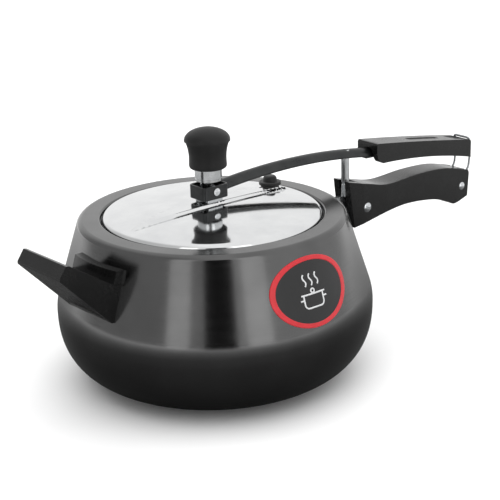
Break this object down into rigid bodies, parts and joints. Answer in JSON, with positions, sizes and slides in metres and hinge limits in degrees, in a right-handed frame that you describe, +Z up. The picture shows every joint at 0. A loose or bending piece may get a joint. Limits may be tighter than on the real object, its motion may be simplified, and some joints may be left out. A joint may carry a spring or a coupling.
{
  "type": "stovetop pressure cooker",
  "caption": "Curved stovetop pressure cooker with an inner lid on a lever bar, a lift-off weight, a safety valve, a locking loop and a helper handle.",
  "frame": {"origin": "centre of the flat base, on the surface that the cooker stands on", "axes": "+Z up along the pot's axis; +X along the long handle; -Y towards the side with the badge"},
  "size_m": [0.4255, 0.236, 0.1886],
  "materials": {
    "anodised_body": "hard-anodised spun aluminium, dark grey, satin",
    "badge_foil": "printed round sticker, red ring on black",
    "steel": "plain bright steel",
    "polished_steel": "mirror-polished stainless steel",
    "dark_steel": "dark satin plated steel",
    "black_phenolic": "moulded black phenolic, semi-gloss",
    "matte_phenolic": "moulded black phenolic, matte",
    "black_rubber": "black heat-proof rubber",
    "soft_alloy": "cast low-melting alloy"
  },
  "bodies": {
    "pot": {"pot_body": "anodised_body", "label_badge": "badge_foil", "handle_bracket": "steel", "handle_rivets": "steel", "body_handle": "black_phenolic", "handle_screw": "steel", "handle_screw_nut": "steel", "loop_pin": "steel", "helper_bracket": "steel", "helper_rivets": "steel", "helper_handle": "black_phenolic", "helper_screw": "steel"},
    "loop": {"locking_loop": "steel"},
    "lever": {"lid_bar": "dark_steel", "upper_handle": "black_phenolic", "upper_handle_screw": "steel", "fulcrum_post": "polished_steel"},
    "lid": {"lid": "polished_steel", "lid_gasket": "black_rubber", "vent_tube": "steel", "vent_nut": "steel", "lid_bracket": "steel", "bar_pivot_pins": "steel", "safety_valve": "black_rubber", "fusible_plug": "soft_alloy", "safety_valve_seal": "black_rubber", "safety_valve_nut": "steel"},
    "regulator": {"regulator_weight": "steel", "regulator_knob": "matte_phenolic", "regulator_clip": "steel"}
  },
  "joints": [
    {"name": "lid_lever", "type": "hinge", "parent": "pot", "child": "lever", "pos_m": [0.1344, 0, 0.1085], "axis": [0, -1, 0], "range_deg": [0, 8]},
    {"name": "lid_tilt", "type": "hinge", "parent": "lever", "child": "lid", "pos_m": [-0.0025, 0, 0.142], "axis": [0, -1, 0], "range_deg": [-8, 0]},
    {"name": "loop_swing", "type": "hinge", "parent": "pot", "child": "loop", "pos_m": [0.2597, 0, 0.0918], "axis": [0, 1, 0], "range_deg": [0, 104]},
    {"name": "regulator_lift", "type": "slide", "parent": "lid", "child": "regulator", "axis": [0, 0, 1], "range_m": [0, 0.03]}
  ],
  "couplings": [
    {"joint": "lid_tilt", "follows": "lid_lever", "ratio": -1},
    {"joint": "loop_swing", "follows": "lid_lever", "ratio": 13}
  ]
}
